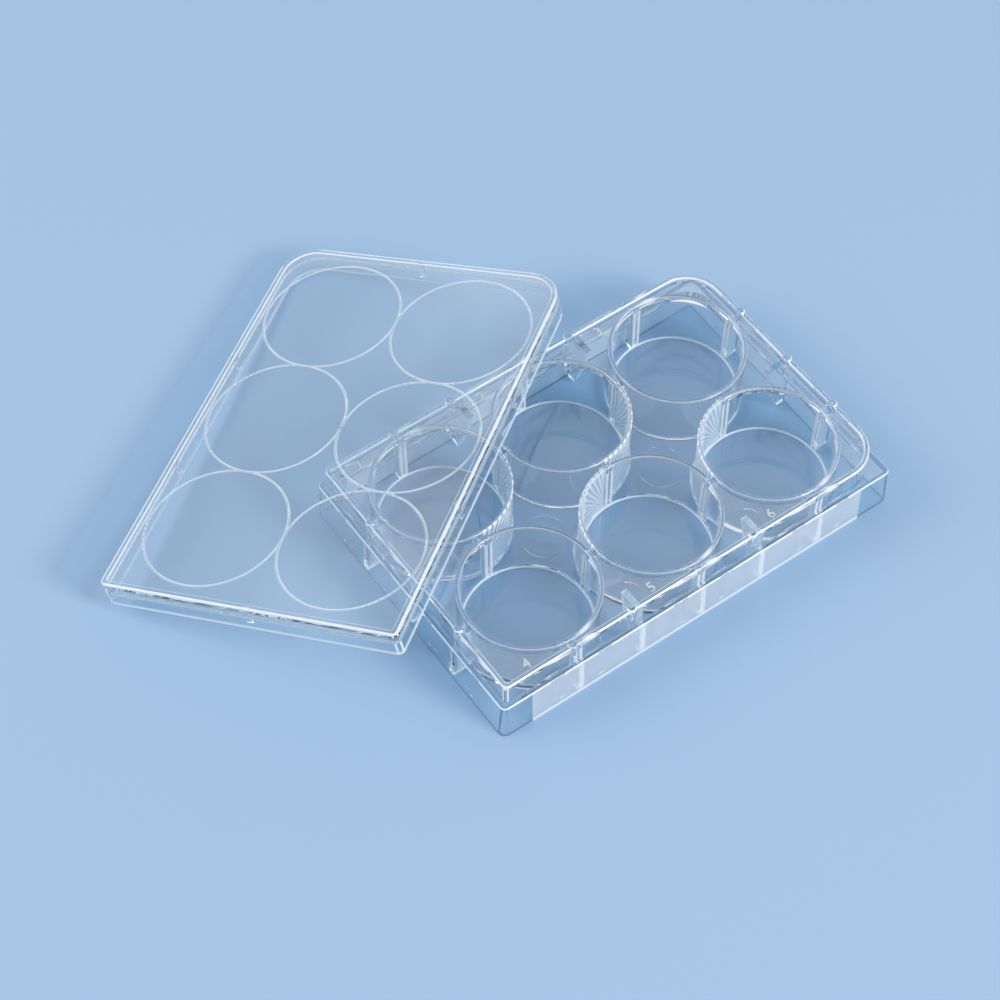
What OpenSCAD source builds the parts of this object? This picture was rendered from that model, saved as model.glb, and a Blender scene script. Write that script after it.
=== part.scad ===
// Six-well culture plate with its lid taken off and leaning on one corner of the plate.
// Both are clear mouldings: the plate is one piece, the lid is the other.
// Sizes in mm. X runs along the long front side, Y to the back, Z up from the table.

/* [Plate outline] */
// Length of the foot of the skirt
plate_l = 127.76; // [110:0.01:140]
// Width of the foot of the skirt
plate_w = 85.48; // [75:0.01:95]
// Height from the table to the rims
plate_h = 19.6; // [17:0.1:24]
// Corner radius at the foot of the skirt
skirt_r = 2.2; // [2.1:0.1:4]
// How far the skirt leans in from the table up to the ledge
skirt_draft = 0.57; // [0.1:0.01:1]
// Wall thickness of the skirt
skirt_t = 1.4; // [1:0.1:2]
// Height of the ledge where the upper wall begins
ledge_z = 12.4; // [10:0.1:14]
// Thickness of the ledge
ledge_t = 1.3; // [1:0.1:2]
// Rounding of the ledge's outer edge
ledge_f = 0.5; // [0.2:0.05:0.6]

/* [Upper wall and deck] */
// How far the upper wall stands in from the foot of the skirt
wall_in = 2.04; // [1.6:0.01:3]
// Thickness of the upper wall
wall_t = 1.5; // [1:0.1:2]
// Radius of the two square-looking corners, at the left
wall_r_small = 1.7; // [1.6:0.1:4]
// Radius of the two rounded corners, at the right
wall_r_big = 11; // [5:0.1:13]
// Depth of the deck below the rims
deck_drop = 1.4; // [0.6:0.1:2.5]
// Thickness of the deck
deck_t = 1.2; // [0.8:0.1:2]
// Rounding of the top of the upper wall
wall_f = 0.65; // [0.3:0.05:0.7]

/* [Wells] */
// Distance between well centres
pitch = 39.12; // [38.5:0.01:39.6]
// Number of wells along the plate
cols = 3; // [3:1:3]
// Number of wells across the plate
rows = 2; // [2:1:2]
// Outer radius of a well at its rim
rim_r = 18.95; // [18.4:0.01:19.2]
// Outer radius of a well at its foot
foot_r = 18.6; // [18.2:0.01:19]
// Inner radius of a well at its rim
bore_r = 17.8; // [17:0.01:18]
// Inner radius of a well at its floor
floor_r = 17.4; // [16.8:0.01:17.8]
// Height of the well floor above the table
floor_z = 2.4; // [1.8:0.1:4]
// Thickness of the well floor
floor_t = 1.2; // [0.8:0.1:1.6]
// Rounding of the well rim
rim_f = 0.5; // [0.2:0.05:0.55]

/* [Ribs] */
// Thickness of the webs that join the wells to each other and to the wall
web_t = 2.3; // [1.4:0.1:3]
// Height of the lower edge of the webs on the long sides and at the left
web_low = 0.8; // [0.5:0.1:3]
// Height of the lower edge of the webs at the right
web_high = 3; // [1:0.1:5]
// Thickness of the fins under the deck
fin_t = 1.8; // [1.2:0.1:2.6]
// Reach of a fin in from the wall's outer face, under the deck
fin_top = 7.4; // [4:0.1:9]
// Reach of a fin at its lower end
fin_foot = 2.4; // [1.6:0.1:4]
// Share of the reach left at half height
fin_mid = 0.72; // [0.4:0.01:0.9]

/* [Rim nubs] */
// Radius of the nubs on the outside of the rim
nub_r = 1.4; // [1:0.1:2]
// How far a nub stands out from the wall
nub_out = 0.45; // [0.2:0.05:0.6]
// How far a nub stands above the rim, to hold the closed lid up
nub_up = 0.35; // [0.1:0.05:0.8]
// Height of a nub
nub_h = 4; // [2:0.1:6]
// How far the nubs on the long sides stand from the fins
nub_shift = 2.44; // [2.2:0.01:4]
// How far the end nub on the long sides stands from its web
nub_end = 1.38; // [0:0.01:2]
// Distance of the middle nub at the right from the middle of that side
nub_right = 0.6; // [0:0.1:2]

/* [Moulding marks] */
// Radius of the round marks on the deck
mark_r = 3.5; // [2:0.1:5]
// Radius of the round marks on the two middle floors
pocket_mark_r = 6.35; // [4:0.05:8]
// Distance of the deck marks from the foot of the skirt
mark_edge = 7.6; // [6:0.1:9]
// Width of the raised line of a mark
mark_t = 0.3; // [0.2:0.05:0.6]
// Height of the raised line of a mark
mark_h = 0.15; // [0.1:0.05:0.4]

/* [Lid] */
// Clearance between the lid's skirt and the upper wall, when the lid is closed
lid_gap = 0.56; // [0.5:0.01:0.8]
// Height of the lid
lid_h = 8.2; // [6:0.1:11]
// Thickness of the lid's skirt
lid_skirt_t = 1; // [0.8:0.05:1.6]
// Thickness of the lid's top
lid_top_t = 1; // [0.8:0.1:1.6]
// Radius of the lid's two square-looking corners
lid_r_small = 1.9; // [1.8:0.1:4]
// Radius of the lid's two rounded corners
lid_r_big = 10; // [5:0.1:13]
// Width of the raised band round the top
band_t = 1.7; // [1:0.1:3]
// Rounding of the band's two edges
band_f = 0.38; // [0.2:0.02:0.4]
// Rounding of the skirt's lower edge
lid_foot_f = 0.35; // [0.2:0.05:0.4]
// Height of the raised band above the top
band_h = 0.4; // [0.2:0.05:1]
// Width of the six rings under the top, which touch one another
ring_t = 0.8; // [0.4:0.05:1]
// Height of a ring
ring_h = 0.22; // [0.1:0.02:0.6]
// Thickness of the small ribs inside the lid's skirt
lid_rib_t = 1.8; // [1:0.1:2.4]
// How far the small ribs stand in
lid_rib_in = 0.4; // [0.2:0.05:0.5]
// Height of the small ribs
lid_rib_h = 4.5; // [2:0.1:6]
// Sideways place of the small rib at the rounded end
lid_rib_shift = -2; // [-3:0.1:3]

// Radius of the moulding spot in the middle of the lid's top
gate_r = 0.9; // [0.5:0.1:2]
// Height of the moulding spot
gate_h = 0.25; // [0.1:0.05:0.5]

/* [How the lid leans] */
// Place of the lid's near corner along the plate, from the plate's corner it leans on
lean_x = -61.23; // [-75:0.01:-50]
// Place of the lid's near corner across the plate, from the plate's corner it leans on
lean_y = 4.14; // [0:0.01:12]
// Turn of the lid on the table
lean_turn = -55.226; // [-60:0.001:-50]
// Clearance where the lid touches the table and the rim
lean_gap = 0.03; // [0.01:0.01:0.2]

/* [Hidden] */
$fn = 96;
// Least length that a direction is divided by
tiny = 0.01;
// How far a cutter reaches past what it cuts
over = 1;
// How far a nub's inner end stays short of the wall's inner face
nub_short = 0.1;
// Corner radius of the ledge where it meets the skirt, inside
ledge_r = 1;
// Steps in which the lid settles onto its contacts
settle_steps = 12;
clear = [0.85, 0.91, 0.94, 0.45];
deck_z = plate_h - deck_drop;
wall_l = plate_l - 2 * wall_in;
wall_w = plate_w - 2 * wall_in;
core_r = (rim_r + floor_r) / 2;
well_x = [for (i = [0 : cols - 1]) (i - (cols - 1) / 2) * pitch];
well_y = [for (j = [0 : rows - 1]) (j - (rows - 1) / 2) * pitch];
pocket_x = [for (i = [0 : cols - 2]) (i - (cols - 2) / 2) * pitch];
cavity_z = ledge_z - ledge_t;
slope = skirt_draft / ledge_z;
lid_under = lid_h - band_h - lid_top_t;
lid_l = wall_l + 2 * (lid_gap + lid_skirt_t);
lid_w = wall_w + 2 * (lid_gap + lid_skirt_t);
ring_r = pitch / 2;
nubs_long = [well_x[0] - nub_end, for (x = pocket_x) x - nub_shift];
nubs_left = well_y;
nubs_right = [well_y[0], -nub_right, well_y[1]];
lid_corner = [lean_x - plate_l / 2, lean_y + plate_w / 2];
leaning = settle([0, 0, 1], 0, settle_steps);
lean_n = leaning[0];
lean_z = leaning[1];
lean_tilt = tilt_of(lean_n);
lean_pitch = pitch_of(lean_n);
set_x = (max(plate_l / 2, reach([1, 0, 0])) - max(plate_l / 2, reach([-1, 0, 0]))) / 2;
set_y = (max(plate_w / 2, reach([0, 1, 0])) - max(plate_w / 2, reach([0, -1, 0]))) / 2;

// Angles of the lid whose top faces along n, in the frame that turns with the lid
function tilt_of(n) = atan2(-n[0], n[2]);
function pitch_of(n) = -asin(n[1]);

// The table's directions in the frame that turns with the lid, and back
function turned(p) = [
    p[0] * cos(lean_turn) + p[1] * sin(lean_turn),
    p[1] * cos(lean_turn) - p[0] * sin(lean_turn),
    p[2]
];

// A point of the lid, at p from its near corner, in the frame that turns with it
function lid_point(p, tilt, pitch_up) =
    let (
        y = p[1] * cos(pitch_up) - p[2] * sin(pitch_up),
        z = p[1] * sin(pitch_up) + p[2] * cos(pitch_up)
    )
    [p[0] * cos(tilt) - z * sin(tilt), y, p[0] * sin(tilt) + z * cos(tilt)];

// A point under the lid's lower edge where it meets the table, on its rounded corner at the left
function table_contact(near, n, tilt, pitch_up) =
    let (
        fall = [sin(tilt), sin(pitch_up) * cos(tilt)],
        down = fall / max(norm(fall), tiny),
        r = lid_r_big - lid_foot_f,
        low = [lid_r_big - r * down[0], lid_l - lid_r_big - r * down[1], lid_foot_f],
        foot = lid_point(low, tilt, pitch_up)
    )
    [near[0] + foot[0], near[1] + foot[1], lean_gap + lid_foot_f] - lid_foot_f * n;

// A point of the lid's lower plane, under the one where its top lies on the plate's corner
function corner_contact(n) =
    let (out = [n[0], n[1]] / max(norm([n[0], n[1]]), tiny))
    turned([wall_r_small - wall_l / 2, wall_w / 2 - wall_r_small, plate_h - wall_f])
    + (wall_r_small - wall_f) * [out[0], out[1], 0]
    + (wall_f + lean_gap - lid_under) * n;

// A point of the lid's lower plane where the skirt's inner edge crosses the plate's back rim
function skirt_contact(near, n, tilt, pitch_up) =
    let (
        rim = turned([1, 0, 0]),
        both = cross(rim, lid_point([0, 1, 0], tilt, pitch_up)),
        lift = (wall_f + lid_foot_f + lean_gap) * both / norm(both) * sign(both[2]),
        side = lid_point([1, 0, 0], tilt, pitch_up),
        start = turned([0, wall_w / 2 - wall_f, plate_h - wall_f]) + lift,
        x = (lid_w - lid_skirt_t + lid_foot_f - side * (start - near)) / (side * rim)
    )
    start + x * rim - lid_foot_f * n;

// Lets the lid down onto its three contacts: gives the way its top faces and its corner's height
function settle(n, z, steps) =
    steps == 0 ? [n, z] :
    let (
        tilt = tilt_of(n),
        pitch_up = pitch_of(n),
        near = turned([lid_corner[0], lid_corner[1], z]),
        a = table_contact(near, n, tilt, pitch_up),
        b = corner_contact(n),
        c = skirt_contact(near, n, tilt, pitch_up),
        across = cross(b - a, c - a),
        up = across / norm(across) * sign(across[2])
    )
    settle(up, a[2] - (up[0] * (near[0] - a[0]) + up[1] * (near[1] - a[1])) / up[2], steps - 1);

// How far the leaning lid reaches along a direction
function reach(d) =
    let (
        way = turned(d),
        corner = turned([lid_corner[0], lid_corner[1], lean_z]),
        side = lid_point([1, 0, 0], lean_tilt, lean_pitch) * way,
        along = lid_point([0, 1, 0], lean_tilt, lean_pitch) * way
    )
    max([
        for (x = [0, 1], y = [0, 1], level = [[lid_foot_f, lid_foot_f], [lid_h - band_f, band_f]])
            let (
                r = y == 0 ? lid_r_small : lid_r_big,
                mid = [r + x * (lid_w - 2 * r), r + y * (lid_l - 2 * r), level[0]]
            )
            (corner + lid_point(mid, lean_tilt, lean_pitch)) * way
            + (r - level[1]) * norm([side, along]) + level[1]
    ]);

// Rectangle with one corner radius at the left and another at the right
module outline(l, w, r_left, r_right) {
    translate([-l / 2 + r_left, -w / 2])
        square([l - r_left - r_right, w]);
    translate([-l / 2, -w / 2 + r_left])
        square([2 * r_left, w - 2 * r_left]);
    translate([l / 2 - 2 * r_right, -w / 2 + r_right])
        square([2 * r_right, w - 2 * r_right]);
    for (s = [-1, 1]) {
        translate([-l / 2 + r_left, s * (w / 2 - r_left)])
            circle(r_left);
        translate([l / 2 - r_right, s * (w / 2 - r_right)])
            circle(r_right);
    }
}

// Carries a section round a rectangle: in the section, x = 0 is the outer face and y is up
module around(l, w, r_left, r_right) {
    for (turn = [0, 180])
        rotate([0, 0, turn])
            translate([l / 2, 0, 0])
                rotate([90, 0, 0])
                    linear_extrude(w - 2 * (turn == 0 ? r_right : r_left), center = true)
                        children();
    for (turn = [90, -90])
        translate([(r_left - r_right) / 2, 0, 0])
            rotate([0, 0, turn])
                translate([w / 2, 0, 0])
                    rotate([90, 0, 0])
                        linear_extrude(l - r_left - r_right, center = true)
                            children();
    for (turn = [0, -90])
        translate([l / 2 - r_right, (w / 2 - r_right) * (turn == 0 ? 1 : -1), 0])
            rotate([0, 0, turn])
                rotate_extrude(angle = 90)
                    translate([r_right, 0])
                        children();
    for (turn = [90, 180])
        translate([r_left - l / 2, (w / 2 - r_left) * (turn == 90 ? 1 : -1), 0])
            rotate([0, 0, turn])
                rotate_extrude(angle = 90)
                    translate([r_left, 0])
                        children();
}

// Upright bar in a section, from x = -t to 0, with its upper corners rounded
module bar_section(t, low, high, f) {
    translate([-t, low])
        square([t, high - low - f]);
    translate([f - t, high - 2 * f])
        square([t - 2 * f, 2 * f]);
    for (x = [-f, f - t])
        translate([x, high - f])
            circle(f);
}

// Section of the skirt, leaning in as it rises and rounded at the ledge
module skirt_section() {
    edge = slope * (ledge_z - ledge_f);
    polygon([
        [-skirt_t, 0],
        [0, 0],
        [-edge, ledge_z - ledge_f],
        [-edge - ledge_f, ledge_z],
        [-skirt_t - skirt_draft, ledge_z]
    ]);
    translate([-edge - ledge_f, ledge_z - ledge_f])
        circle(ledge_f);
}

// Skirt, ledge, upper wall and deck as one shell, open below
module shell() {
    around(plate_l, plate_w, skirt_r, skirt_r)
        skirt_section();
    around(wall_l, wall_w, wall_r_small, wall_r_big)
        bar_section(wall_t, cavity_z, plate_h, wall_f);
    translate([0, 0, cavity_z])
        linear_extrude(ledge_t)
            difference() {
                outline(plate_l - 2 * skirt_t, plate_w - 2 * skirt_t, ledge_r, ledge_r);
                outline(wall_l - wall_t, wall_w - wall_t, wall_r_small - wall_t / 2, wall_r_big - wall_t / 2);
            }
    difference() {
        translate([0, 0, deck_z - deck_t])
            linear_extrude(deck_t)
                outline(wall_l - wall_t, wall_w - wall_t, wall_r_small - wall_t / 2, wall_r_big - wall_t / 2);
        translate([-pitch, -pitch / 2, deck_z - deck_t - over])
            cube([2 * pitch, pitch, deck_t + 2 * over]);
    }
}

// Half section of one well, rounded at the rim
module well_section() {
    polygon([
        [0, floor_z - floor_t],
        [foot_r, floor_z - floor_t],
        [rim_r, plate_h - rim_f],
        [bore_r, plate_h - rim_f],
        [floor_r, floor_z],
        [0, floor_z]
    ]);
    translate([rim_r - rim_f, plate_h - rim_f])
        circle(rim_f);
    translate([bore_r + rim_f, plate_h - rim_f])
        circle(rim_f);
    translate([bore_r + rim_f, plate_h - 2 * rim_f])
        square([rim_r - bore_r - 2 * rim_f, 2 * rim_f]);
}

module at_wells() {
    for (x = well_x, y = well_y)
        translate([x, y, 0])
            children();
}

// Webs that join each pair of neighbouring wells
module well_webs() {
    for (x = pocket_x, y = well_y)
        translate([x - web_t / 2, y - web_t / 2, floor_z - floor_t])
            cube([web_t, web_t, deck_z - floor_z + floor_t]);
    for (x = well_x)
        translate([x - web_t / 2, -web_t / 2, floor_z - floor_t])
            cube([web_t, web_t, deck_z - floor_z + floor_t]);
}

// Upright web from a well to the wall, that also stiffens the skirt
module wall_web(half, centre, low) {
    rotate([90, 0, 90])
        linear_extrude(web_t, center = true)
            polygon([
                [centre + core_r, low],
                [half - skirt_t / 2 - slope * low, low],
                [half - skirt_t / 2 - slope * cavity_z, cavity_z + ledge_t / 2],
                [half - wall_in - wall_t / 2, cavity_z + ledge_t / 2],
                [half - wall_in - wall_t / 2, deck_z - deck_t / 2],
                [centre + core_r, deck_z - deck_t / 2]
            ]);
}

// Sloping fin under the deck that runs down into a rib on the skirt
module fin(half) {
    face = half - wall_in;
    mid = (deck_z - deck_t + web_low) / 2;
    rotate([90, 0, 90])
        linear_extrude(fin_t, center = true)
            polygon([
                [face - fin_foot, web_low],
                [half - skirt_t / 2 - slope * web_low, web_low],
                [half - skirt_t / 2 - slope * cavity_z, cavity_z + ledge_t / 2],
                [face - wall_t / 2, cavity_z + ledge_t / 2],
                [face - wall_t / 2, deck_z - deck_t / 2],
                [face - fin_top, deck_z - deck_t / 2],
                [face - fin_top * fin_mid, mid]
            ]);
}

// The four sides of the plate: webs at the wells and fins midway between them
module ribs() {
    for (turn = [0, 180])
        rotate([0, 0, turn]) {
            for (x = well_x)
                translate([x, 0, 0])
                    wall_web(plate_w / 2, pitch / 2, web_low);
            for (x = pocket_x)
                translate([x, 0, 0])
                    fin(plate_w / 2);
        }
    for (y = well_y) {
        translate([0, y, 0])
            rotate([0, 0, -90])
                wall_web(plate_l / 2, pitch, web_high);
        translate([0, y, 0])
            rotate([0, 0, 90])
                wall_web(plate_l / 2, pitch, web_low);
    }
    for (turn = [90, -90])
        rotate([0, 0, turn])
            fin(plate_l / 2);
}

// Rounded nub on the outside of the rim, for a wall whose outer face is at y = face
module nub(face) {
    intersection() {
        translate([0, face + nub_out - nub_r, plate_h - nub_h]) {
            cylinder(h = nub_h, r = nub_r);
            translate([0, 0, nub_h])
                cylinder(h = nub_up, r1 = nub_r, r2 = nub_r - nub_up);
        }
        translate([-nub_r, face - wall_t + nub_short, 0])
            cube([2 * nub_r, wall_t + nub_out, plate_h + over]);
    }
}

module nubs() {
    for (x = nubs_long) {
        translate([x, 0, 0])
            nub(wall_w / 2);
        translate([x, 0, 0])
            mirror([0, 1, 0])
                nub(wall_w / 2);
    }
    for (y = nubs_right)
        translate([0, y, 0])
            rotate([0, 0, -90])
                nub(wall_l / 2);
    for (y = nubs_left)
        translate([0, y, 0])
            rotate([0, 0, 90])
                nub(wall_l / 2);
}

// Raised circle left by the mould
module mark(r) {
    difference() {
        translate([0, 0, -mark_h])
            cylinder(h = 2 * mark_h, r = r + mark_t / 2);
        translate([0, 0, -over])
            cylinder(h = 2 * over, r = r - mark_t / 2);
    }
}

module marks() {
    for (x = [-plate_l / 2 + mark_edge, pocket_x[0], pocket_x[1]])
        translate([x, mark_edge - plate_w / 2, deck_z])
            mark(mark_r);
    for (x = pocket_x)
        translate([x, 0, floor_z])
            mark(pocket_mark_r);
}

module plate() {
    color(clear) {
        difference() {
            union() {
                shell();
                translate([-pitch, -pitch / 2, floor_z - floor_t])
                    cube([2 * pitch, pitch, floor_t]);
                well_webs();
                ribs();
                nubs();
                marks();
            }
            at_wells()
                translate([0, 0, -over])
                    cylinder(h = plate_h + 2 * over, r = core_r);
        }
        at_wells()
            rotate_extrude()
                well_section();
    }
}

// Section of the lid's edge: the skirt, and the raised band at its top
module lid_section() {
    bar_section(band_t, lid_under, lid_h, band_f);
    translate([-lid_skirt_t, lid_foot_f])
        square([lid_skirt_t, lid_h / 2]);
    translate([lid_foot_f - lid_skirt_t, 0])
        square([lid_skirt_t - 2 * lid_foot_f, lid_h / 2]);
    for (x = [-lid_foot_f, lid_foot_f - lid_skirt_t])
        translate([x, lid_foot_f])
            circle(lid_foot_f);
}

// Low rounded ring that gathers the moisture over one well, under the plane z = 0
module lid_ring() {
    rotate_extrude()
        intersection() {
            translate([ring_r, ring_t / 2 - ring_h])
                circle(ring_t / 2);
            translate([0, -ring_h])
                square([2 * ring_r, ring_h + lid_top_t / 2]);
        }
}

// Small upright rib inside the lid's skirt, on the side at x = 0
module lid_rib() {
    translate([lid_skirt_t / 2, -lid_rib_t / 2, lid_under - lid_rib_h])
        cube([lid_skirt_t / 2 + lid_rib_in, lid_rib_t, lid_rib_h + lid_top_t / 2]);
}

// The lid in its own frame: across from x = 0, along from y = 0, open below
module lid_body() {
    translate([lid_w / 2, lid_l / 2, 0])
        rotate([0, 0, 90]) {
            around(lid_l, lid_w, lid_r_small, lid_r_big)
                lid_section();
            translate([0, 0, lid_under])
                linear_extrude(lid_top_t)
                    outline(lid_l - band_t, lid_w - band_t, lid_r_small - band_t / 2, lid_r_big - band_t / 2);
        }
    for (x = well_y, y = well_x)
        translate([lid_w / 2 + x, lid_l / 2 + y, lid_under])
            lid_ring();
    for (y = pocket_x) {
        translate([0, lid_l / 2 + y, 0])
            lid_rib();
        translate([lid_w, lid_l / 2 + y, 0])
            mirror([1, 0, 0])
                lid_rib();
    }
    translate([lid_w / 2, 0, 0])
        rotate([0, 0, 90])
            lid_rib();
    translate([lid_w / 2 + lid_rib_shift, lid_l, 0])
        rotate([0, 0, -90])
            lid_rib();
    translate([lid_w / 2, lid_l / 2, lid_h - band_h - lid_top_t / 2])
        cylinder(h = lid_top_t / 2 + gate_h, r = gate_r);
}

module lid() {
    color(clear)
        translate([lid_corner[0], lid_corner[1], lean_z])
            rotate([0, 0, lean_turn])
                rotate([0, -lean_tilt, 0])
                    rotate([lean_pitch, 0, 0])
                        lid_body();
}

translate([-set_x, -set_y, 0])
        plate();

translate([-set_x, -set_y, 0])
        lid();
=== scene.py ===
import math
from collections import defaultdict

import bpy
from mathutils import Matrix, Vector


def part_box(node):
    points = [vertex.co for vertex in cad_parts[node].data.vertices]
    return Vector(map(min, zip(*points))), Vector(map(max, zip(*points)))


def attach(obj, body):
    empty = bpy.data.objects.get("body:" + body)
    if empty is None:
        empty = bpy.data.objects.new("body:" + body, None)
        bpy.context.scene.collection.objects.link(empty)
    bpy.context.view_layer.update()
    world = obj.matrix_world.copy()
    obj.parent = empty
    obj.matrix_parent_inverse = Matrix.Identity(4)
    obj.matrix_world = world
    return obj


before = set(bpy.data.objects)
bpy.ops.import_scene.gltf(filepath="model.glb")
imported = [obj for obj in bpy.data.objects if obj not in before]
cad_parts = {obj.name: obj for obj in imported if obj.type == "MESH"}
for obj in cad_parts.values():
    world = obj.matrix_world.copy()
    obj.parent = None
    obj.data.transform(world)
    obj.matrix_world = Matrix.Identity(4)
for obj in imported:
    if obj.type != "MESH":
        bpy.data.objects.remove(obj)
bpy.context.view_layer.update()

MM = 0.001

# Camera: in front and to the left of the plate, looking down on it
CAMERA_AZIMUTH = -36.024
CAMERA_ELEVATION = 54.939
CAMERA_ROLL = 0.472
CAMERA_DISTANCE = 642.15 * MM
CAMERA_LENS = 85.88
SENSOR_WIDTH = 36
NEAREST_SEEN = 0.01
FARTHEST_SEEN = 50
# The point looked at, from the middle of the plate's foot
LOOK_FROM_PLATE = (-21.572 * MM, 17.435 * MM)

# Studio, in metres and watts
FLOOR_SIZE = 24.0
FLOOR_COLOUR = "#A6C5E5"
FLOOR_ROUGHNESS = 0.9
FLOOR_GLOSS = 0.1
AMBIENT = 0.44
# What glass and gloss see: brightness at the horizon, and the sines of the slants between which it rises
# to a white tent
HORIZON_LEVEL = 0.28
TENT_FROM = 0.05
TENT_TO = 0.4
AIM = (0, 0, 0)
KEY_PLACE = (0.9, -2.18, 1.35)
KEY_SIZE = (0.9, 0.6)
KEY_WATTS = 13.8
SIDE_PLACE = (-1.58, 1.08, 1.32)
SIDE_SIZE = (1.9, 1.2)
SIDE_WATTS = 9.2
# Degrees of the cone that each softbox's grid lets through
LAMP_SPREAD = 100
# Light passes many clear walls before it reaches the floor
CLEAR_BOUNCES = 40
GLOSSY_BOUNCES = 24

# Where the plate's parts lie, in millimetres from the middle of its foot, or of a well for its radii
WELL_PITCH = 39.12
SKIRT_HALF = 42.74
LEDGE_TOP = 12.4
PANEL_LEFT = -54.5
PANEL_RIGHT = 53.0
PANEL_TOP = 11.95
FLOOR_TOP = 2.4
DECK_TOP = 18.2
WALL_HALF = (61.84, 40.7)
WELL_INSIDE = 17.45
WELL_OUTSIDE = 18.7
RIM_MIDDLE = 18.3
RIM_HALF = 0.9
# Middle of a number, from its well's middle
NUMERAL_LEFT = 13.6
NUMERAL_OUT = 17.54
NUMERAL_SIZE = 4.2
# A number's strokes: thinned by, raised by, and rounded by
NUMERAL_THIN = 0.04
NUMERAL_RAISE = 0.06
NUMERAL_ROUND = 0.08
MERGE_WITHIN = 0.001

# Clear polystyrene, and the shadow of its faces seen straight and edge-on
POLYSTYRENE_IOR = 1.59
CLEAR_COLOUR = "#FBFDFE"
# Colour of the painted highlights, and of the real frosting on the panels
HIGHLIGHT_AND_FROST_COLOUR = "#F0F7FF"
SHADOW_COLOUR = "#F5F9FB"
SHADOW_EDGE_COLOUR = "#A8C8D9"
SHADOW_BLEND = 0.35
# Roughness where the polish is best and worst
POLISH_BEST = 0.01
POLISH_WORST = 0.04
# Height of the moulded-in waves, and waves in a millimetre
FLOW_RELIEF = 0.006
FLOW_SCALE = 0.09

# Satin polystyrene of the numbers, painted pale to stand in for the highlights on their raised strokes
NUMERAL_PAINTED_HIGHLIGHT_COLOUR = "#F4F8FB"
SATIN_CLEAR = 0.4
SATIN_SMOOTHEST = 0.3
SATIN_ROUGHEST = 0.45
GRIT_SIZE = 0.2
GRIT_HEIGHT = 0.02
GRIT_STRENGTH = 0.3
# The span in which nearly all of a noise texture's values lie
NOISE_LOW = 0.3
NOISE_HIGH = 0.7

# How white the painted highlights are in the clear plastic, from 0, clear, to 1
PAINTED_EDGE_HIGHLIGHT = 0.95
PAINTED_RIM_HIGHLIGHT = 0.35
PAINTED_FLARE_HIGHLIGHT = 0.75
PAINTED_FOOT_RING_HIGHLIGHT = 0.95
PAINTED_WEB_HIGHLIGHT = 0.7
PAINTED_FIN_HIGHLIGHT = 0.3
PAINTED_CORNER_HIGHLIGHT = 0.9
PAINTED_LID_HIGHLIGHT = 0.9
# Roughness where the plastic is painted white for highlights, and of the frosting
WHITE_ROUGHNESS = 0.35
FROST_ROUGHNESS = 0.8

# How far a rounded edge's faces point up or down: least, and most on the plate and on the lid
EDGE_LOWEST = 0.14
PLATE_EDGE_HIGHEST = 0.9
LID_EDGE_HIGHEST = 0.985
# A face this near to square to another, by the cosine, counts as square
NEARLY_SQUARE = 0.1
# Painted highlight lines in the corners, from where the sides would meet, and their half width
WALL_CORNER_LINE = 1.18
LID_CORNER_LINE = 1.38
CORNER_SPREAD = 0.13
ABOVE_LEDGE = 0.2
# Painted highlight ring at a floor's edge: in from the wall, up from the floor, and half width
RING_IN = 0.2
RING_UP = 0.1
RING_HALF = 0.28
# Painted highlight bars on the webs between the wells: a bar's middle from the web's, half its width and
# reach, and its top below the deck
WEB_MIDDLE = 0.8
WEB_HALF = 0.45
WEB_REACH = 1.3
WEB_BELOW_DECK = 1
# Painted highlight in fine pale lines on the wells' walls: how many make a full turn about a web's foot
FAN_LINES = 60.0
# They start below the floor, and show on the wall's outside
FAN_BELOW_FLOOR = 1.1
FAN_OUT = 0.1
FAN_HALF = 0.3
# Whiteness between and on them, where a line's slope begins and ends, and how they fade along the wall
FAN_PALE = 0.35
FAN_BRIGHT = 1.0
FAN_SLOPE_FROM = -0.8
FAN_SLOPE_TO = 0.5
FAN_FADE_FROM = 12.0
FAN_FADE_TO = 19.0
FAN_FAINT = 0.3
# Painted highlight flares on the rims: middle, from the web beside them, and least distance from the plate's
# middle line
FLARE_MIDDLE = 3.8
FLARE_FROM = 36.5
# Distance from the flare's middle at which it begins and ends to fade
FLARE_FADE_FROM = 0.8
FLARE_FADE_TO = 3.8
# Painted highlight on the fins: half thickness, and middle and half reach from the plate's middle line
FIN_HALF = 1.1
FIN_MIDDLE = 36.0
FIN_REACH = 3.6
FIN_BELOW_DECK = 1.3
# Panels: how near to the skirt's widest they lie, streaks in a millimetre, their stretch and their whiteness
PANEL_DEPTH = 0.75
STREAK_SCALE = 1.2
STREAK_STRETCH = 0.06
PANEL_PALE = 0.36
PANEL_BRIGHT = 0.48
# Whiter foot of a panel, and whiter strip over each rib behind it: where they start and end to fade
PANEL_FOOT_FROM = 0.6
PANEL_FOOT_TO = 1.5
PANEL_FOOT_WHITE = 0.95
RIB_FROM = 0.6
RIB_TO = 1.4
RIB_WHITE = 0.7
# Painted highlight along the upper and lower borders of the lid's skirt, and how far in from its outside the
# upper one reaches
LID_LOWER_LINE = 0.85
LID_UPPER_LINE = 0.75
LID_LINE_DEPTH = 0.6


def linear(code):
    """An sRGB hex colour as linear red, green, blue and alpha."""
    out = []
    for i in (1, 3, 5):
        c = int(code[i:i + 2], 16) / 255
        out.append(c / 12.92 if c <= 0.04045 else ((c + 0.055) / 1.055) ** 2.4)
    return (*out, 1.0)


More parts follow.
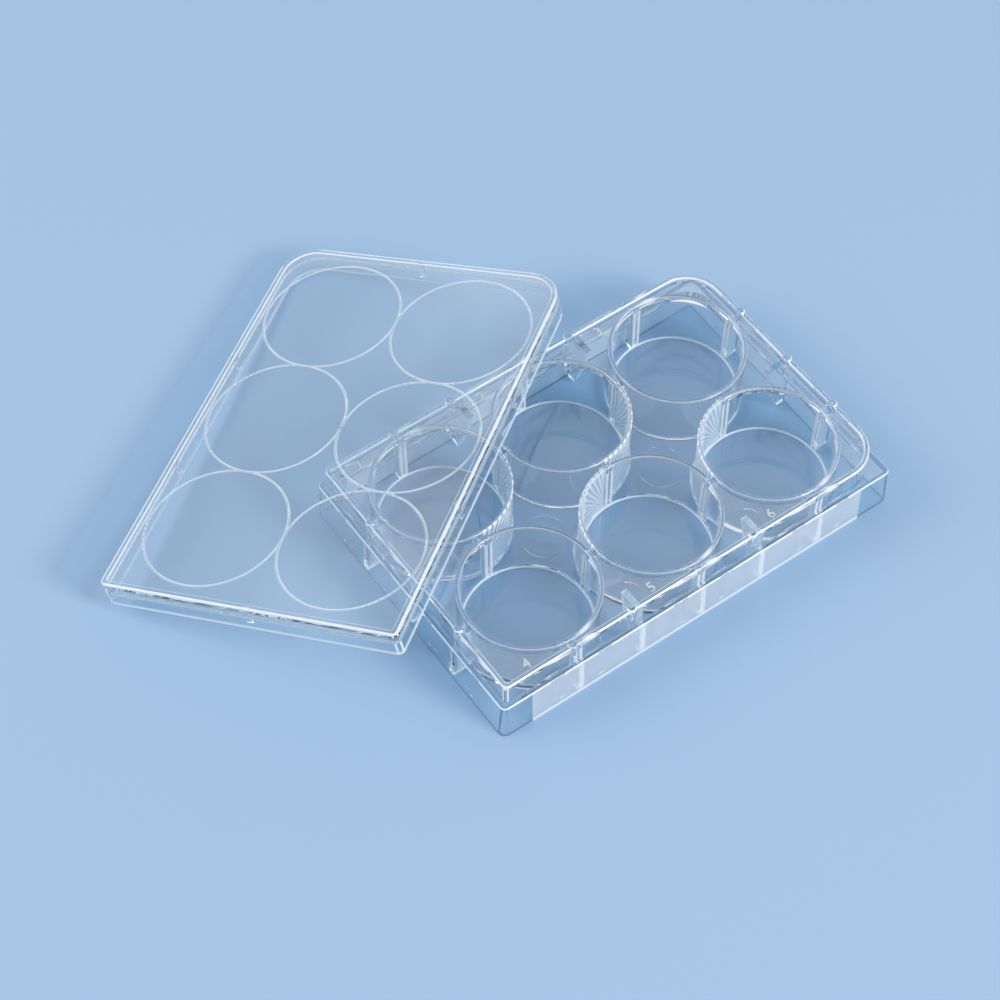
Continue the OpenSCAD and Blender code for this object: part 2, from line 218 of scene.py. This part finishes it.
def node(tree, kind, *values, sockets=None, **settings):
    """Adds a node: values go to its inputs in order, sockets to those named, and settings are its choices.

    A node given as a value is linked from its first output."""
    made = tree.nodes.new(kind)
    for key, value in settings.items():
        setattr(made, key, value)
    for key, value in {**dict(enumerate(values)), **(sockets or {})}.items():
        if isinstance(value, bpy.types.Node):
            value = value.outputs[0]
        if isinstance(value, bpy.types.NodeSocket):
            tree.links.new(value, made.inputs[key])
        elif value is not None:
            made.inputs[key].default_value = value
    return made


def new_material(name):
    made = bpy.data.materials.new(name)
    made.use_nodes = True
    made.node_tree.nodes.clear()
    return made, made.node_tree


def own_axes(obj):
    """Middle of the foot, turn and half size of a slanting moulding: its up is its broadest face's way."""
    areas = defaultdict(float)
    for face in obj.data.polygons:
        areas[tuple(round(c, 3) for c in face.normal)] += face.area
    ways = [Vector(way) for way in sorted(areas, key=areas.get, reverse=True)]
    up = ways[0] if ways[0].z > 0 else -ways[0]
    across = next(way for way in ways if abs(way.dot(up)) < NEARLY_SQUARE)
    across = (across - up * across.dot(up)).normalized()
    along = up.cross(across)
    turn = Matrix((across, along, up)).transposed()
    corners = [turn.inverted() @ v.co for v in obj.data.vertices]
    low = Vector([min(c[i] for c in corners) for i in range(3)])
    high = Vector([max(c[i] for c in corners) for i in range(3)])
    foot = Vector(((low.x + high.x) / 2, (low.y + high.y) / 2, low.z))
    return turn @ foot, turn, (high - low) / (2 * MM)


def edge_mask(tree, turn, highest):
    """1 on the rounded edges, whose faces point neither straight up or down nor to a side."""
    normal = node(tree, "ShaderNodeTexCoord").outputs["Normal"]
    upright = node(tree, "ShaderNodeVectorMath", normal, turn.col[2], operation="DOT_PRODUCT")
    tilt = node(tree, "ShaderNodeMath", upright.outputs["Value"], operation="ABSOLUTE")
    return node(tree, "ShaderNodeMath", tilt, (EDGE_LOWEST + highest) / 2, (highest - EDGE_LOWEST) / 2,
                operation="COMPARE")


def corner_mask(tree, across, along, half_x, half_y, line):
    """1 on the two upright lines in which a square-looking corner gathers light; rounder ones pass inside."""
    reach = node(tree, "ShaderNodeMath", across, along, operation="ADD")
    return node(tree, "ShaderNodeMath", reach, half_x + half_y - line, CORNER_SPREAD, operation="COMPARE")


def around_well(tree, x, y):
    """Place about the nearest well: across, back, out, and along its wall from the nearest web."""
    column = node(tree, "ShaderNodeMath", x, WELL_PITCH / 2, -WELL_PITCH / 2, operation="WRAP")
    row = node(tree, "ShaderNodeMath", y, WELL_PITCH, 0.0, operation="WRAP")
    row = node(tree, "ShaderNodeMath", row, WELL_PITCH / 2, operation="SUBTRACT")
    place = node(tree, "ShaderNodeCombineXYZ", column, row, 0.0)
    radius = node(tree, "ShaderNodeVectorMath", place, operation="LENGTH").outputs["Value"]
    turn = node(tree, "ShaderNodeMath", row, column, operation="ARCTAN2")
    turn = node(tree, "ShaderNodeMath", turn, math.pi / 4, operation="PINGPONG")
    along = node(tree, "ShaderNodeMath", turn, WELL_OUTSIDE, operation="MULTIPLY")
    return column, row, radius, along


def panel_mask(tree, own, x, depth, z):
    """Frosted writing panels on the skirt's two long sides, whiter at the foot and over each rib behind."""
    face = node(tree, "ShaderNodeMath", depth, SKIRT_HALF, PANEL_DEPTH, operation="COMPARE")
    middle, reach = (PANEL_LEFT + PANEL_RIGHT) / 2, (PANEL_RIGHT - PANEL_LEFT) / 2
    length = node(tree, "ShaderNodeMath", x, middle, reach, operation="COMPARE")
    below = node(tree, "ShaderNodeMath", z, PANEL_TOP, operation="LESS_THAN")
    # frosting has faint upright streaks, about 1 mm apart
    stretched = node(tree, "ShaderNodeVectorMath", own, (1.0, 1.0, STREAK_STRETCH), operation="MULTIPLY")
    streak = node(tree, "ShaderNodeTexNoise", stretched, sockets={"Scale": STREAK_SCALE, "Detail": 2.0})
    white = node(tree, "ShaderNodeMapRange", streak, NOISE_LOW, NOISE_HIGH, PANEL_PALE, PANEL_BRIGHT)
    foot = node(tree, "ShaderNodeMapRange", z, PANEL_FOOT_FROM, PANEL_FOOT_TO, PANEL_FOOT_WHITE, 0.0)
    from_rib = node(tree, "ShaderNodeMath", x, WELL_PITCH / 4, operation="PINGPONG")
    rib = node(tree, "ShaderNodeMapRange", from_rib, RIB_FROM, RIB_TO, RIB_WHITE, 0.0)
    for brighter in (foot, rib):
        white = node(tree, "ShaderNodeMath", white, brighter, operation="MAXIMUM")
    for mask in (face, length, below):
        white = node(tree, "ShaderNodeMath", white, mask, operation="MULTIPLY")
    return white


def fan_highlight_mask(tree, x, y, z, column, row, radius, along):
    """Painted highlight on the wells' walls in the two middle pockets, in fine pale lines fanning up from the
    foot of each web.
    """
    rise = node(tree, "ShaderNodeMath", z, FLOOR_TOP - FAN_BELOW_FLOOR, operation="SUBTRACT")
    slant = node(tree, "ShaderNodeMath", along, rise, operation="ARCTAN2")
    line = node(tree, "ShaderNodeMath", slant, FAN_LINES, operation="MULTIPLY")
    line = node(tree, "ShaderNodeMath", line, operation="SINE")
    white = node(tree, "ShaderNodeMapRange", line, FAN_SLOPE_FROM, FAN_SLOPE_TO, FAN_PALE, FAN_BRIGHT)
    fade = node(tree, "ShaderNodeMapRange", along, FAN_FADE_FROM, FAN_FADE_TO, 1.0, FAN_FAINT)
    wall = node(tree, "ShaderNodeMath", radius, WELL_OUTSIDE + FAN_OUT, FAN_HALF, operation="COMPARE")
    length = node(tree, "ShaderNodeMath", x, 0.0, WELL_PITCH, operation="COMPARE")
    width = node(tree, "ShaderNodeMath", y, 0.0, WELL_PITCH / 2, operation="COMPARE")
    side = node(tree, "ShaderNodeMath", column, row, operation="MULTIPLY")
    quarter = node(tree, "ShaderNodeMath", side, 0.0, operation="LESS_THAN")
    for mask in (fade, wall, length, width, quarter):
        white = node(tree, "ShaderNodeMath", white, mask, operation="MULTIPLY")
    return white


def plate_frost_and_painted_highlights(tree, own, turn):
    """How white the plate is at each point, and how much of that is frosting; the rest is painted highlight.
    """
    x, y, z = node(tree, "ShaderNodeSeparateXYZ", own).outputs
    length = node(tree, "ShaderNodeMath", x, operation="ABSOLUTE")
    depth = node(tree, "ShaderNodeMath", y, operation="ABSOLUTE")
    column, row, radius, along = around_well(tree, x, y)
    at_well = node(tree, "ShaderNodeMath", radius, RIM_MIDDLE, RIM_HALF, operation="COMPARE")

    # painted highlight on the rounded edges, weaker on the wells' rims than on the plate's own edges
    edge = node(tree, "ShaderNodeMapRange", at_well, 0.0, 1.0, PAINTED_EDGE_HIGHLIGHT, PAINTED_RIM_HIGHLIGHT)
    edge = node(tree, "ShaderNodeMath", edge, edge_mask(tree, turn, PLATE_EDGE_HIGHEST), operation="MULTIPLY")

    # painted highlight flares on the rims beside the webs that join them to the long sides
    beside = node(tree, "ShaderNodeMath", column, FLARE_MIDDLE, operation="SUBTRACT")
    beside = node(tree, "ShaderNodeMath", beside, operation="ABSOLUTE")
    flare = node(tree, "ShaderNodeMapRange", beside, FLARE_FADE_FROM, FLARE_FADE_TO, PAINTED_FLARE_HIGHLIGHT, 0.0)
    outermost = node(tree, "ShaderNodeMath", depth, FLARE_FROM, operation="GREATER_THAN")
    high = node(tree, "ShaderNodeMath", z, DECK_TOP, operation="GREATER_THAN")
    for mask in (outermost, high, at_well):
        flare = node(tree, "ShaderNodeMath", flare, mask, operation="MULTIPLY")

    # painted highlight: a bright ring where each floor meets its wall
    foot = node(tree, "ShaderNodeMath", radius, WELL_INSIDE - RING_IN, RING_HALF, operation="COMPARE")
    low = node(tree, "ShaderNodeMath", z, FLOOR_TOP + RING_UP, RING_HALF, operation="COMPARE")
    for mask in (low, PAINTED_FOOT_RING_HIGHLIGHT):
        foot = node(tree, "ShaderNodeMath", foot, mask, operation="MULTIPLY")

    # painted highlight: the webs between the wells show as a pair of white bars
    web = node(tree, "ShaderNodeMath", along, WEB_MIDDLE, WEB_HALF, operation="COMPARE")
    halfway = (WELL_INSIDE + WELL_PITCH / 2) / 2
    between = node(tree, "ShaderNodeMath", radius, halfway, WEB_REACH, operation="COMPARE")
    web_top = DECK_TOP - WEB_BELOW_DECK
    tall = node(tree, "ShaderNodeMath", z, (FLOOR_TOP + web_top) / 2, (web_top - FLOOR_TOP) / 2,
                operation="COMPARE")
    for mask in (between, tall, PAINTED_WEB_HIGHLIGHT):
        web = node(tree, "ShaderNodeMath", web, mask, operation="MULTIPLY")

    # painted highlight on the fins under the deck, midway between the wells
    fin = node(tree, "ShaderNodeMath", length, WELL_PITCH / 2, FIN_HALF, operation="COMPARE")
    under = node(tree, "ShaderNodeMath", depth, FIN_MIDDLE, FIN_REACH, operation="COMPARE")
    below = node(tree, "ShaderNodeMath", z, DECK_TOP - FIN_BELOW_DECK, operation="LESS_THAN")
    for mask in (under, below, PAINTED_FIN_HIGHLIGHT):
        fin = node(tree, "ShaderNodeMath", fin, mask, operation="MULTIPLY")

    # painted highlight: white upright lines in the wall's corners, above the ledge
    corner = corner_mask(tree, length, depth, WALL_HALF[0], WALL_HALF[1], WALL_CORNER_LINE)
    above = node(tree, "ShaderNodeMath", z, LEDGE_TOP + ABOVE_LEDGE, operation="GREATER_THAN")
    for mask in (above, PAINTED_CORNER_HIGHLIGHT):
        corner = node(tree, "ShaderNodeMath", corner, mask, operation="MULTIPLY")

    panel = panel_mask(tree, own, x, depth, z)
    fan = fan_highlight_mask(tree, x, y, z, column, row, radius, along)
    white = edge
    for part in (flare, foot, web, fin, corner, fan, panel):
        white = node(tree, "ShaderNodeMath", white, part, operation="MAXIMUM")
    return white, panel


def lid_painted_highlights(tree, own, turn, half):
    """How white the painted highlight makes the lid at each point: its edges, its corners, and the upper and
    lower border of its skirt.
    """
    x, y, z = node(tree, "ShaderNodeSeparateXYZ", own).outputs
    length = node(tree, "ShaderNodeMath", x, operation="ABSOLUTE")
    depth = node(tree, "ShaderNodeMath", y, operation="ABSOLUTE")
    lower = node(tree, "ShaderNodeMath", z, LID_LOWER_LINE, operation="LESS_THAN")
    end = node(tree, "ShaderNodeMath", length, half.x, LID_LINE_DEPTH, operation="COMPARE")
    side = node(tree, "ShaderNodeMath", depth, half.y, LID_LINE_DEPTH, operation="COMPARE")
    outer = node(tree, "ShaderNodeMath", end, side, operation="MAXIMUM")
    upper = node(tree, "ShaderNodeMath", z, 2 * half.z - LID_UPPER_LINE, operation="GREATER_THAN")
    upper = node(tree, "ShaderNodeMath", upper, outer, operation="MULTIPLY")
    corner = corner_mask(tree, length, depth, half.x, half.y, LID_CORNER_LINE)
    white = edge_mask(tree, turn, LID_EDGE_HIGHEST)
    for part in (lower, upper, corner):
        white = node(tree, "ShaderNodeMath", white, part, operation="MAXIMUM")
    return node(tree, "ShaderNodeMath", white, PAINTED_LID_HIGHLIGHT, operation="MULTIPLY")


def clear_polystyrene(name, middle, turn, half=None):
    """Clear polystyrene moulded against polished steel: glassy, slightly cool, with painted highlight in
    white on its rims and edges.

    The lid is given its half size; where the plate's parts lie stands at the top."""
    made, tree = new_material(name)
    place = node(tree, "ShaderNodeTexCoord").outputs["Object"]
    own = node(tree, "ShaderNodeMapping", place, middle, turn.to_euler(), (MM, MM, MM), vector_type="TEXTURE")
    # melt flow leaves a slow wave, some 10 mm long, in gloss and surface
    flow = node(tree, "ShaderNodeTexNoise", own, sockets={"Scale": FLOW_SCALE, "Detail": 1.0})
    rough = node(tree, "ShaderNodeMapRange", flow, 0.0, 1.0, POLISH_BEST, POLISH_WORST)
    relief = node(tree, "ShaderNodeMath", flow, FLOW_RELIEF, operation="MULTIPLY")
    wave = node(tree, "ShaderNodeBump", sockets={"Height": relief, "Strength": 1.0, "Distance": MM})
    if half:
        white = lid_painted_highlights(tree, own, turn, half)
    else:
        white, panel = plate_frost_and_painted_highlights(tree, own, turn)
        frost = node(tree, "ShaderNodeMath", panel, FROST_ROUGHNESS, operation="MULTIPLY")
        rough = node(tree, "ShaderNodeMath", rough, frost, operation="MAXIMUM")
    softened = node(tree, "ShaderNodeMath", white, WHITE_ROUGHNESS, operation="MULTIPLY")
    rough = node(tree, "ShaderNodeMath", rough, softened, operation="MAXIMUM")
    # painted highlight: where white is 1 the plastic is diffuse white instead of clear; on the plate's panels
    # it is the real frosting
    clear = node(tree, "ShaderNodeMath", 1.0, white, operation="SUBTRACT")
    tint = node(tree, "ShaderNodeMix", white, data_type="RGBA",
                sockets={"A": linear(CLEAR_COLOUR), "B": linear(HIGHLIGHT_AND_FROST_COLOUR)}).outputs["Result"]
    body = node(tree, "ShaderNodeBsdfPrincipled", sockets={
        "Base Color": tint, "Roughness": rough, "IOR": POLYSTYRENE_IOR,
        "Transmission Weight": clear, "Normal": wave})
    # lamps shine through it, and its edge-on parts cast the deeper shadow
    graze = node(tree, "ShaderNodeLayerWeight", SHADOW_BLEND).outputs["Facing"]
    shade = node(tree, "ShaderNodeMix", graze, data_type="RGBA",
                 sockets={"A": linear(SHADOW_COLOUR), "B": linear(SHADOW_EDGE_COLOUR)}).outputs["Result"]
    through = node(tree, "ShaderNodeBsdfTransparent", shade)
    light = node(tree, "ShaderNodeLightPath").outputs
    shadow, diffuse = light["Is Shadow Ray"], light["Is Diffuse Ray"]
    passing = node(tree, "ShaderNodeMath", shadow, diffuse, operation="MAXIMUM")
    passing = node(tree, "ShaderNodeMath", passing, clear, operation="MULTIPLY")
    mix = node(tree, "ShaderNodeMixShader", passing, body, through)
    node(tree, "ShaderNodeOutputMaterial", mix)
    return made


def satin_polystyrene_painted_pale():
    """The numbers' strokes are moulded in a satin part of the tool, and painted pale to stand in for their
    highlights, so they read as pale lines.
    """
    made, tree = new_material("satin polystyrene, numbers, painted highlight")
    place = node(tree, "ShaderNodeTexCoord").outputs["Object"]
    grit = node(tree, "ShaderNodeTexNoise", place, sockets={"Scale": 1 / (GRIT_SIZE * MM), "Detail": 1.0})
    rough = node(tree, "ShaderNodeMapRange", grit, NOISE_LOW, NOISE_HIGH, SATIN_SMOOTHEST, SATIN_ROUGHEST)
    grain = node(tree, "ShaderNodeBump", sockets={
        "Height": grit, "Strength": GRIT_STRENGTH, "Distance": GRIT_HEIGHT * MM})
    body = node(tree, "ShaderNodeBsdfPrincipled", sockets={
        "Base Color": linear(NUMERAL_PAINTED_HIGHLIGHT_COLOUR), "Roughness": rough, "IOR": POLYSTYRENE_IOR,
        "Transmission Weight": SATIN_CLEAR, "Normal": grain})
    node(tree, "ShaderNodeOutputMaterial", body)
    return made


def add_numeral(text, place, finish):
    """A small raised number beside a well, with rounded strokes."""
    bpy.ops.object.select_all(action="DESELECT")
    bpy.ops.object.text_add(location=place)
    label = bpy.context.object
    label.data.body = text
    label.data.align_x = "CENTER"
    label.data.align_y = "CENTER"
    label.data.size = NUMERAL_SIZE * MM
    label.data.offset = -NUMERAL_THIN * MM
    label.data.extrude = NUMERAL_RAISE * MM
    label.data.bevel_depth = NUMERAL_ROUND * MM
    label.data.bevel_resolution = 1
    bpy.ops.object.convert(target="MESH")
    bpy.ops.object.transform_apply(location=True, rotation=True, scale=True)
    bpy.ops.object.mode_set(mode="EDIT")
    bpy.ops.mesh.select_all(action="SELECT")
    bpy.ops.mesh.remove_doubles(threshold=MERGE_WITHIN * MM)
    bpy.ops.mesh.normals_make_consistent(inside=False)
    bpy.ops.object.mode_set(mode="OBJECT")
    label.name = "well_number_" + text
    label.data.materials.clear()
    label.data.materials.append(finish)
    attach(label, "root")


def add_floor():
    bpy.ops.object.select_all(action="DESELECT")
    bpy.ops.mesh.primitive_plane_add(size=FLOOR_SIZE, location=(0, 0, 0))
    floor = bpy.context.object
    floor.name = "floor"
    made, tree = new_material("pale studio floor")
    shade = node(tree, "ShaderNodeBsdfPrincipled", sockets={
        "Base Color": linear(FLOOR_COLOUR), "Roughness": FLOOR_ROUGHNESS, "Specular IOR Level": FLOOR_GLOSS})
    node(tree, "ShaderNodeOutputMaterial", shade)
    floor.data.materials.append(made)


def add_sky():
    """Soft even light; glass and gloss see a white tent over a dark horizon, which draws its edges."""
    world = bpy.data.worlds.new("studio")
    bpy.context.scene.world = world
    world.use_nodes = True
    tree = world.node_tree
    tree.nodes.clear()
    path = node(tree, "ShaderNodeLightPath").outputs
    seen = path["Is Camera Ray"]
    for ray in ("Is Glossy Ray", "Is Transmission Ray"):
        seen = node(tree, "ShaderNodeMath", seen, path[ray], operation="MAXIMUM")
    way = node(tree, "ShaderNodeTexCoord").outputs["Generated"]
    height = node(tree, "ShaderNodeSeparateXYZ", way).outputs["Z"]
    tent = node(tree, "ShaderNodeMapRange", height, TENT_FROM, TENT_TO, HORIZON_LEVEL, 1.0)
    level = node(tree, "ShaderNodeMix", seen, None, AMBIENT, tent)
    sky = node(tree, "ShaderNodeBackground", (1, 1, 1, 1), level)
    node(tree, "ShaderNodeOutputWorld", sky)


def softbox(name, place, size, watts):
    data = bpy.data.lights.new(name, "AREA")
    data.shape = "RECTANGLE"
    data.size, data.size_y = size
    data.spread = math.radians(LAMP_SPREAD)
    data.energy = watts
    lamp = bpy.data.objects.new(name, data)
    bpy.context.scene.collection.objects.link(lamp)
    lamp.location = place
    lamp.rotation_euler = (Vector(AIM) - Vector(place)).to_track_quat("-Z", "Y").to_euler()


def add_camera(middle):
    turn, rise = math.radians(CAMERA_AZIMUTH), math.radians(CAMERA_ELEVATION)
    away = Vector((math.cos(rise) * math.sin(turn), -math.cos(rise) * math.cos(turn), math.sin(rise)))
    target = Vector((middle.x + LOOK_FROM_PLATE[0], middle.y + LOOK_FROM_PLATE[1], 0))
    data = bpy.data.cameras.new("camera")
    data.lens = CAMERA_LENS
    data.sensor_width = SENSOR_WIDTH
    data.clip_start = NEAREST_SEEN
    data.clip_end = FARTHEST_SEEN
    camera = bpy.data.objects.new("camera", data)
    bpy.context.scene.collection.objects.link(camera)
    facing = (-away).to_track_quat("-Z", "Y").to_matrix() @ Matrix.Rotation(math.radians(CAMERA_ROLL), 3, "Z")
    camera.matrix_world = Matrix.Translation(target + away * CAMERA_DISTANCE) @ facing.to_4x4()
    bpy.context.scene.camera = camera


low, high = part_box("plate")
plate_middle = (Vector(low) + Vector(high)) / 2
plate_foot = Vector((plate_middle.x, plate_middle.y, 0))
lid_middle, lid_turn, lid_half = own_axes(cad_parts["lid"])
finishes = {
    "plate": clear_polystyrene("clear polystyrene, plate", plate_foot, Matrix.Identity(3)),
    "lid": clear_polystyrene("clear polystyrene, lid", lid_middle, lid_turn, lid_half),
}
for name, finish in finishes.items():
    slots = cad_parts[name].data.materials
    slots.clear()
    slots.append(finish)

numerals = iter("123456")
satin = satin_polystyrene_painted_pale()
for side in (1, -1):
    for column in (-1, 0, 1):
        spot = Vector((column * WELL_PITCH - NUMERAL_LEFT, side * (WELL_PITCH / 2 + NUMERAL_OUT), DECK_TOP))
        add_numeral(next(numerals), plate_foot + spot * MM, satin)

add_floor()
add_sky()
softbox("key", KEY_PLACE, KEY_SIZE, KEY_WATTS)
softbox("side", SIDE_PLACE, SIDE_SIZE, SIDE_WATTS)
add_camera(plate_middle)

scene = bpy.context.scene
scene.cycles.max_bounces = CLEAR_BOUNCES
scene.cycles.transmission_bounces = CLEAR_BOUNCES
scene.cycles.glossy_bounces = GLOSSY_BOUNCES
scene.cycles.transparent_max_bounces = CLEAR_BOUNCES
scene.view_settings.view_transform = "Standard"
